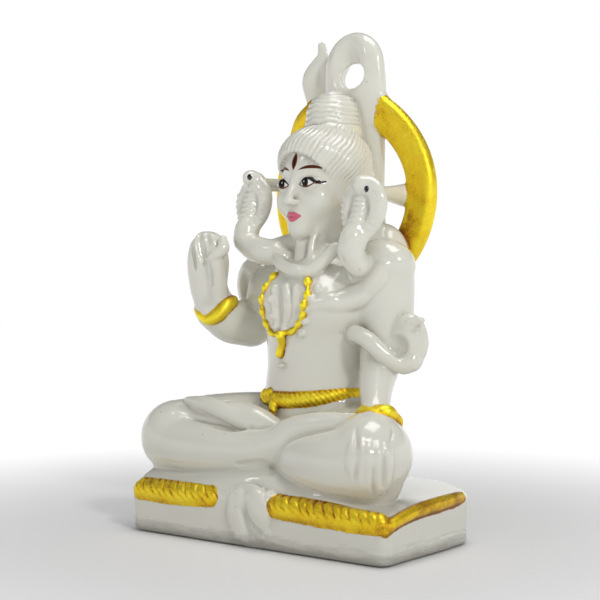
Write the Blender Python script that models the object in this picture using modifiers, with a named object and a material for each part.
"""Seated Shiva figure on a block base, cast in one piece.

The origin is the centre of the underside of the base. +Z is up and the
front of the base faces -Y. Lengths below are millimetres and are turned
into metres where a mesh is made. The figure sits turned a little on its
base, so its forms are written in its own frame: X towards its left hand,
-Y to its front. Everything is one casting, so all forms end as one solid.
"""
from math import pi, radians

import bmesh
import bpy
import numpy as np
from mathutils import Matrix, Vector

MM = 0.001

# Base block
BASE_HALF_LENGTH = 77.5
BASE_FRONT = -46.5
BASE_BACK = 48.0
BASE_CUT_X = 51.0          # where the cut rear corners start on the back
BASE_CUT_Y = 26.0          # and on the sides
BASE_HEIGHT = 25.0
BASE_EDGE_ROUND = 3.0
BASE_FRONT_DROP = 4.5      # the cushion sags at its front left corner
ROLL_RADIUS = 5.0          # plaited roll along the front top edge
ROLL_AXIS_Y = -43.0
ROLL_AXIS_Z = 20.6

# Figure
FIGURE_TURN = -7.5         # degrees on the base
HALO_CENTRE = (-2.3, 37.0, 172.0)
HALO_RADIUS = 46.2         # to the middle of the band
HALO_HALF_WIDTH = 8.4
HALO_HALF_THICK = 4.2
CREST_HALF_WIDTH = 19.5
CREST_TOP = 235.5          # middle of its round top
CREST_HOLE_RADIUS = 7.4
COBRA_LEFT = (38.0, 165.0)     # X and Z of the middle of the hood
COBRA_RIGHT = (-38.0, 170.0)

# Surface
VOXEL = 1.1                # grid that fuses the forms
SMOOTH_STEPS = 7
FACE_BUDGET = 8000         # triangles of the finished solid
CURVE_STEPS = 5            # points between two given points of a path

TURN = Matrix.Rotation(radians(FIGURE_TURN), 4, "Z")
STILL = Matrix.Identity(4)
FRONT = (0.0, 1.0, 0.0)


def clear_scene():
    for obj in list(bpy.data.objects):
        bpy.data.objects.remove(obj, do_unlink=True)


def new_collection(name):
    collection = bpy.data.collections.new(name)
    bpy.context.scene.collection.children.link(collection)
    return collection


def resin_material():
    material = bpy.data.materials.new("cast_resin")
    material.use_nodes = True
    shader = material.node_tree.nodes["Principled BSDF"]
    shader.inputs["Base Color"].default_value = (0.83, 0.82, 0.80, 1.0)
    shader.inputs["Roughness"].default_value = 0.22
    shader.inputs["Metallic"].default_value = 0.0
    return material


def mesh_from(bm, name):
    mesh = bpy.data.meshes.new(name)
    bm.to_mesh(mesh)
    bm.free()
    return mesh


def evaluated(obj):
    """The object's mesh after its modifiers; the object is removed."""
    bpy.context.view_layer.update()
    graph = bpy.context.evaluated_depsgraph_get()
    mesh = bpy.data.meshes.new_from_object(obj.evaluated_get(graph))
    mesh.transform(obj.matrix_world)
    bpy.data.objects.remove(obj, do_unlink=True)
    return mesh


def temporary(data):
    obj = bpy.data.objects.new("form", data)
    bpy.context.scene.collection.objects.link(obj)
    return obj


def squash(flat):
    """Matrix that thins a form across a direction; flat is (direction, share)."""
    if flat is None:
        return STILL
    return Matrix.Scale(flat[1], 4, Vector(flat[0]).normalized())


def smooth_path(points, radii):
    """A Catmull-Rom curve through the points, with the radii eased alike."""
    rows = np.c_[np.array(points, float), np.array(radii, float)]
    if len(rows) < 3:
        return rows
    rows = np.vstack([2 * rows[0] - rows[1], rows, 2 * rows[-1] - rows[-2]])
    out = []
    for a, b, c, d in zip(rows, rows[1:], rows[2:], rows[3:]):
        for t in np.linspace(0, 1, CURVE_STEPS, endpoint=False):
            bend = (2 * a - 5 * b + 4 * c - d) * t**2 + (3 * b - a - 3 * c + d) * t**3
            out.append(0.5 * (2 * b + (c - a) * t + bend))
    out.append(rows[-2])
    return np.array(out)


def ball(centre, size, frame=TURN):
    """An ellipsoid with the given half lengths."""
    bm = bmesh.new()
    bmesh.ops.create_uvsphere(bm, u_segments=32, v_segments=20, radius=MM)
    mesh = mesh_from(bm, "ball")
    place = Matrix.Translation(Vector(centre) * MM)
    mesh.transform(frame @ place @ Matrix.Diagonal((*size, 1.0)))
    return [mesh]


def limb(points, radii, flat=None, frame=TURN):
    """A rounded tube of changing width along a path, thinned if asked."""
    thin = squash(flat)
    swell = thin.inverted()
    rows = smooth_path(points, radii)
    path = [swell @ Vector(row[:3]) for row in rows]
    curve = bpy.data.curves.new("limb", "CURVE")
    curve.dimensions = "3D"
    curve.bevel_depth = MM
    curve.bevel_resolution = 6
    curve.use_fill_caps = True
    spline = curve.splines.new("POLY")
    spline.points.add(len(path) - 1)
    for point, place, row in zip(spline.points, path, rows):
        point.co = (*(place * MM), 1.0)
        point.radius = row[3]
    tube = evaluated(temporary(curve))
    bm = bmesh.new()
    bm.from_mesh(tube)
    bmesh.ops.remove_doubles(bm, verts=bm.verts, dist=1e-6)
    bmesh.ops.recalc_face_normals(bm, faces=bm.faces)
    bm.to_mesh(tube)
    bm.free()
    tube.transform(frame @ thin)
    meshes = [tube]
    for place, row in ((path[0], rows[0]), (path[-1], rows[-1])):
        end = ball(place, (row[3],) * 3, frame=STILL)[0]
        end.transform(frame @ thin)
        meshes.append(end)
    return meshes


def carved(body, cutter):
    """The meshes of body fused, less those of cutter."""
    obj = temporary(joined(body, "body"))
    tool = temporary(joined(cutter, "tool"))
    fuse = obj.modifiers.new("fuse", "REMESH")
    fuse.mode = "VOXEL"
    fuse.voxel_size = 0.8 * MM
    cut = obj.modifiers.new("cut", "BOOLEAN")
    cut.operation = "DIFFERENCE"
    cut.solver = "EXACT"
    cut.object = tool
    mesh = evaluated(obj)
    bpy.data.objects.remove(tool, do_unlink=True)
    return [mesh]


def joined(meshes, name):
    bm = bmesh.new()
    for mesh in meshes:
        bm.from_mesh(mesh)
    for mesh in meshes:
        bpy.data.meshes.remove(mesh)
    return mesh_from(bm, name)


def block():
    """Base: a bevelled prism, run 3 mm below the underside and trimmed later."""
    right = [(BASE_HALF_LENGTH - 0.5, BASE_FRONT), (BASE_HALF_LENGTH + 1, BASE_CUT_Y), (BASE_CUT_X, BASE_BACK)]
    outline = right + [(-x, y) for x, y in reversed(right)]
    bm = bmesh.new()
    low = [bm.verts.new((x * MM * 0.99, y * MM * 0.99, -3 * MM)) for x, y in outline]
    bottom = bm.faces.new(low)
    top = bmesh.ops.extrude_face_region(bm, geom=[bottom])["geom"]
    for vert in (item for item in top if isinstance(item, bmesh.types.BMVert)):
        vert.co.z = BASE_HEIGHT * MM
        vert.co.x /= 0.985
        vert.co.y /= 0.985
        near = np.exp(-(((vert.co.x / MM - 74) / 34) ** 2 + ((vert.co.y / MM + 46) / 22) ** 2))
        vert.co.z -= BASE_FRONT_DROP * MM * near
    bmesh.ops.recalc_face_normals(bm, faces=bm.faces)
    obj = temporary(mesh_from(bm, "block"))
    bevel = obj.modifiers.new("edges", "BEVEL")
    bevel.width = BASE_EDGE_ROUND * MM
    bevel.segments = 3
    return [evaluated(obj)]


def rolls():
    """The two halves of the roll and the tiger head flap between them."""
    left_half = [(-71, ROLL_AXIS_Y, ROLL_AXIS_Z), (-46, ROLL_AXIS_Y - 0.4, 20.8), (-24, ROLL_AXIS_Y, 21.5)]
    right_half = [(16, ROLL_AXIS_Y - 0.5, ROLL_AXIS_Z), (44, ROLL_AXIS_Y - 0.4, 19.5), (71, ROLL_AXIS_Y, 18.6)]
    flap = [(-1, -40, 26), (-1, -45.5, 22), (0, -46.5, 14), (2, -46, 9)]
    sizes = [ROLL_RADIUS, ROLL_RADIUS + 0.2, ROLL_RADIUS - 0.2]
    return (
        limb(left_half, sizes, frame=STILL)
        + limb(right_half, sizes, frame=STILL)
        + limb(flap, [14, 13, 11, 7], flat=(FRONT, 0.27), frame=STILL)
    )


def lap():
    """Hips, thighs and knees, the crossed shins and the foot laid on the thigh."""
    hips = ball((1, 15, 46), (41, 28, 25))
    hips += limb([(0, 11, 50), (1, 9, 68)], [29, 28], flat=(FRONT, 0.88))
    right_thigh = limb([(-20, 10, 47), (-43, -14, 47), (-60.5, -33.5, 46.5)], [22, 21.5, 18.6])
    left_thigh = limb([(20, 10, 45), (42, -4, 46), (57.5, -17.5, 46)], [21, 20.5, 19.4])
    left_shin = limb([(57, -22, 43), (42, -28, 42), (26, -29.5, 41.5), (11, -27, 39.5)], [17.5, 14.5, 10.8, 6])
    right_shin = limb(
        [(-60, -37.5, 45), (-42, -39, 43.5), (-20, -36.5, 43.5), (-3, -33, 44.5), (9, -30, 48), (17.5, -27, 54.5),
         (32, -23, 58.7), (44, -18, 59), (53, -14, 57)],
        [14.5, 12.6, 11.2, 10, 8.7, 7.2, 5.9, 5.2, 4.2],
    )
    foot = limb([(-52, -34, 59), (-36, -32.5, 60), (-20, -30, 59.6), (-8, -27, 57.5), (1, -24, 53.5)], [4.2, 6.2, 7, 7, 6])
    skin = limb(
        [(-70, -35, 22.5), (-50, -35.5, 24), (-28, -36.5, 26), (-10, -35.5, 27.5), (4, -33, 28.5), (24, -34, 26.5),
         (44, -34, 22), (60, -29, 17)],
        [8, 8.3, 8.5, 8.5, 8.5, 8, 7, 6],
        frame=STILL,
    )
    under = ball((56, -17, 31), (17, 16.5, 13)) + ball((-50, -24, 32), (20, 14, 12))
    return hips + right_thigh + left_thigh + left_shin + right_shin + foot + skin + under


def trunk():
    core = limb(
        [(1, 8, 62), (1, 8, 80), (2, 8, 98), (2.5, 9, 111), (1.5, 10, 119)],
        [28, 27.4, 28.8, 31.5, 28],
        flat=(FRONT, 0.9),
    )
    core += limb([(-30, 14, 124), (0, 13, 129), (30, 14, 124)], [12.5, 13.5, 12.5])
    core += ball((-8, -5.5, 114), (12.8, 12.2, 13.2)) + ball((15, -5, 114), (17.5, 13, 13.5))
    core += ball((38, 13, 134), (19, 13, 14.5))
    core += limb([(0, 10, 128), (0, 12, 158)], [15.5, 13])
    for side in (-1, 1):
        core += ball((side * 34, 13, 119), (15.5, 14.5, 15.5))
        core += ball((side * 27, 26, 138), (15, 11, 17))
    return core


def left_arm():
    """The arm that rests on the knee, its hand and its snake armlet."""
    arm = limb([(41, 14, 124), (42, 13, 104), (42, 8, 89), (47, -2, 76), (54, -10, 64)], [13, 12, 10.6, 8.4, 7])
    hand = limb([(54, -10, 64), (62, -21, 56), (67, -27, 47)], [7.4, 9.3, 9.5], flat=((0.5, -0.5, 0.7), 0.6))
    across = Vector((0.717, 0.697, 0))
    for finger in range(4):
        shift = (finger - 1.4) * 4.8
        knuckle = Vector((67.5, -28, 0)) + across * shift * 0.9
        bow = -0.05 * shift * shift
        tip = 29 + 0.35 * abs(shift)
        path = [
            knuckle + Vector((-2, 2, 52)),
            knuckle + Vector((2 + bow, -2 - bow, 42)),
            knuckle + Vector((1 + bow, -1 - bow, tip)),
        ]
        hand += limb(path, [3.7, 3.6, 3])
    hand += limb([(51, -16, 60), (58, -31, 51), (61, -36, 41)], [5.2, 4.4, 3.4])
    coil = limb(
        [(30, 2, 99), (35, -3, 101), (44, -4, 98), (51, 0, 91), (56, 6, 87), (60, 9, 88)],
        [4, 4.2, 4.4, 4.5, 5, 5],
    )
    hood = limb([(56, 8, 88), (58, 9, 95), (58, 10, 102), (57, 10, 107)], [6, 9.5, 8, 4], flat=((0.5, -1, 0), 0.5))
    horn = limb([(60, 9, 100), (64, 10, 105), (67, 10, 108)], [4, 3.2, 2.8])
    return arm + hand + coil + hood + horn


def right_arm():
    """The raised arm with its open hand, and the armlet's hood behind it."""
    arm = limb([(-38, 12, 120), (-44, 11, 110), (-47, 6, 104)], [13, 12, 12])
    arm += limb([(-47, 6, 104), (-49, -6, 105), (-51, -15, 111)], [12, 11.5, 10.5])
    palm = [(-51, -15, 111), (-53, -18, 124), (-53, -19, 136), (-52, -20, 141.4)]
    hand = limb(palm, [9.6, 9.8, 10.6, 9.6], flat=((0.6, -0.8, 0), 0.75))
    hand += limb([(-46, -17, 117), (-44.2, -19.5, 127), (-43.6, -22, 138)], [4.8, 4.8, 3.8])
    hood = limb([(-44, 9, 112), (-47, 8, 121), (-47.5, 8, 129), (-44, 8, 135)], [8, 10, 9.4, 6], flat=((0.3, 1, 0), 0.5))
    return arm + hand + hood


def head():
    skull = ball((0, 12, 178), (19.5, 22, 25))
    jaw = ball((0, 5, 163), (14.5, 14, 15.5))
    hair = ball((0, 13, 186.5), (23.2, 24.4, 18.8)) + ball((0, 21, 176), (21.5, 19, 24))
    topknot = limb([(-1, 20, 201), (-1.6, 20.5, 209.4)], [15.4, 13.8])
    return skull + jaw + hair + topknot


def halo_ring():
    """A flat band turned round the Y axis behind the head."""
    wide, thick, edge = HALO_HALF_WIDTH, HALO_HALF_THICK, 1.2
    profile = [
        (wide - edge, -thick), (wide, edge - thick), (wide, thick - edge), (wide - edge, thick),
        (edge - wide, thick), (-wide, thick - edge), (-wide, edge - thick), (edge - wide, -thick),
    ]
    bm = bmesh.new()
    loop = [bm.verts.new(((HALO_RADIUS + out) * MM, across * MM, 0)) for out, across in profile]
    for a, b in zip(loop, loop[1:] + loop[:1]):
        bm.edges.new((a, b))
    obj = temporary(mesh_from(bm, "halo"))
    turn = obj.modifiers.new("turn", "SCREW")
    turn.axis = "Y"
    turn.angle = 2 * pi
    turn.steps = turn.render_steps = 64
    turn.use_merge_vertices = True
    turn.merge_threshold = 0.00001
    mesh = evaluated(obj)
    bm = bmesh.new()
    bm.from_mesh(mesh)
    bmesh.ops.recalc_face_normals(bm, faces=bm.faces)
    bm.to_mesh(mesh)
    bm.free()
    mesh.transform(TURN @ Matrix.Translation(Vector(HALO_CENTRE) * MM))
    return [mesh]


def crest():
    """The upright slab behind the head, with the small hood beside its top."""
    slab = limb(
        [(0, 36, 130), (0, 37, 160), (0, 37, 196), (0, 36, 222), (-0.5, 36, CREST_TOP)],
        [24, 18.5, 18.5, 20, CREST_HALF_WIDTH],
        flat=(FRONT, 0.42),
    )
    hood = [(-20, 39, 222), (-27, 39, 232), (-27, 39, 242), (-27, 39, 250)]
    return slab + limb(hood, [7, 8.5, 5.5, 3], flat=((0.3, -1, 0), 0.45))


def crest_hollow():
    """What is taken out of the crest: its dished front and the hole through it."""
    dish = ball((-0.5, 27, 237), (9.5, 12, 15))
    hole = limb([(-1.5, 10, 231.5), (-1.5, 60, 231.5)], [CREST_HOLE_RADIUS] * 2)
    return carved(dish + hole, ball((0, 0, 0), (1, 1, 1)))


def cobra(place, snout, sizes, stay):
    """A raised cobra: dished hood, ridge of the belly, head, and the stay to the halo."""
    x, z = place
    spread = limb(
        [(x, 2, z + 5), (x, 0, z - 4), (x, -2, z - 14), (x, -6, z - 24)],
        [8.4, 13, 10, 6.2],
        flat=(FRONT, 0.45),
    )
    hood = carved(spread, ball((x, -7, z - 5), (8.5, 5, 11)))
    belly = limb([(x, -2, z + 2), (x, -4, z - 8), (x, -6, z - 18), (x, -7, z - 25)], [4.5, 5, 5.5, 6.2])
    return hood + belly + limb(snout, sizes) + limb(stay, [4, 3.8, 4.6, 5.8], flat=(FRONT, 0.6))


def snakes():
    """Both cobras, their bodies, the coil round the neck and the sash."""
    forms = cobra(
        COBRA_RIGHT,
        [(-38, 2, 175), (-38, -1, 178.5), (-38, -3.6, 179.6), (-38, -4.8, 178)],
        [5, 4.9, 4, 3],
        [(-38, 2, 176), (-38.6, 14, 176.6), (-40.2, 27, 177), (-42, 36.5, 177)],
    )
    forms += cobra(
        COBRA_LEFT,
        [(38, 2, 167), (38, 0.2, 171), (38, -2, 172.4), (37.8, -3.8, 171)],
        [5.2, 5.2, 4.6, 3.2],
        [(38, 2, 170), (37.4, 14, 169.4), (37, 27, 169.2), (37.6, 36.5, 169.2)],
    )
    forms += limb([(-38, -6, 152), (-36.6, -6.5, 147), (-31, -7, 143), (-23, -7, 141), (-15.6, -6, 140), (-11, -6, 138)],
                  [6.2, 6.6, 7, 7, 6.4, 6])
    forms += limb([(-16, -1, 143), (-8, 5, 147)], [7, 6.5])
    forms += limb([(36.5, -6.5, 146), (35.6, -7, 139), (38, -3, 135)], [6.4, 7, 8.5])
    collar = [(-14, -7.5, 139.7), (-4.3, -13.8, 134.2), (2.5, -15, 132), (11.5, -13.8, 130.8), (18.6, -8.2, 135.6), (24.5, -5.5, 142)]
    forms += limb(collar, [5, 5, 5, 5, 5, 5])
    forms += limb([(47, 1, 131), (42.5, -3.5, 126), (36, -7.5, 121), (28.5, -11.5, 117), (20, -15.2, 113.5)], [4.5, 4.5, 4.2, 3.8, 3])
    return forms


def cutter(meshes, name, collection):
    obj = bpy.data.objects.new(name, joined(meshes, name))
    obj.hide_render = True
    obj.display_type = "WIRE"
    collection.objects.link(obj)
    return obj


def subtract(obj, tool, name):
    cut = obj.modifiers.new(name, "BOOLEAN")
    cut.operation = "DIFFERENCE"
    cut.solver = "EXACT"
    cut.object = tool


def voxel_fuse(obj, name):
    fuse = obj.modifiers.new(name, "REMESH")
    fuse.mode = "VOXEL"
    fuse.voxel_size = VOXEL * MM


def floor_block():
    bm = bmesh.new()
    bmesh.ops.create_cube(bm, size=1.0)
    mesh = mesh_from(bm, "floor")
    mesh.transform(Matrix.Translation((0, 0, -0.01)) @ Matrix.Diagonal((0.3, 0.3, 0.02, 1)))
    return [mesh]


def build():
    clear_scene()
    parts = new_collection("shiva_figure")
    cutters = new_collection("shiva_figure_cutters")
    forms = block() + rolls() + lap() + trunk() + left_arm() + right_arm()
    forms += head() + halo_ring() + crest() + snakes()
    hollow = cutter(crest_hollow(), "crest_hollow", cutters)
    underside = cutter(floor_block(), "underside_trim", cutters)

    figure = bpy.data.objects.new("shiva_figure", joined(forms, "shiva_figure"))
    parts.objects.link(figure)
    figure.data.materials.clear()
    figure.data.materials.append(resin_material())

    voxel_fuse(figure, "fuse")
    subtract(figure, hollow, "crest_hollow")
    voxel_fuse(figure, "fuse_again")
    soften = figure.modifiers.new("soften", "SMOOTH")
    soften.factor = 0.5
    soften.iterations = SMOOTH_STEPS
    thin_out = figure.modifiers.new("thin_out", "DECIMATE")
    thin_out.use_collapse_triangulate = True
    thin_out.ratio = 1.0
    graph = bpy.context.evaluated_depsgraph_get()
    dense = figure.evaluated_get(graph).to_mesh()
    dense.calc_loop_triangles()
    thin_out.ratio = FACE_BUDGET / len(dense.loop_triangles)
    subtract(figure, underside, "underside")


build()
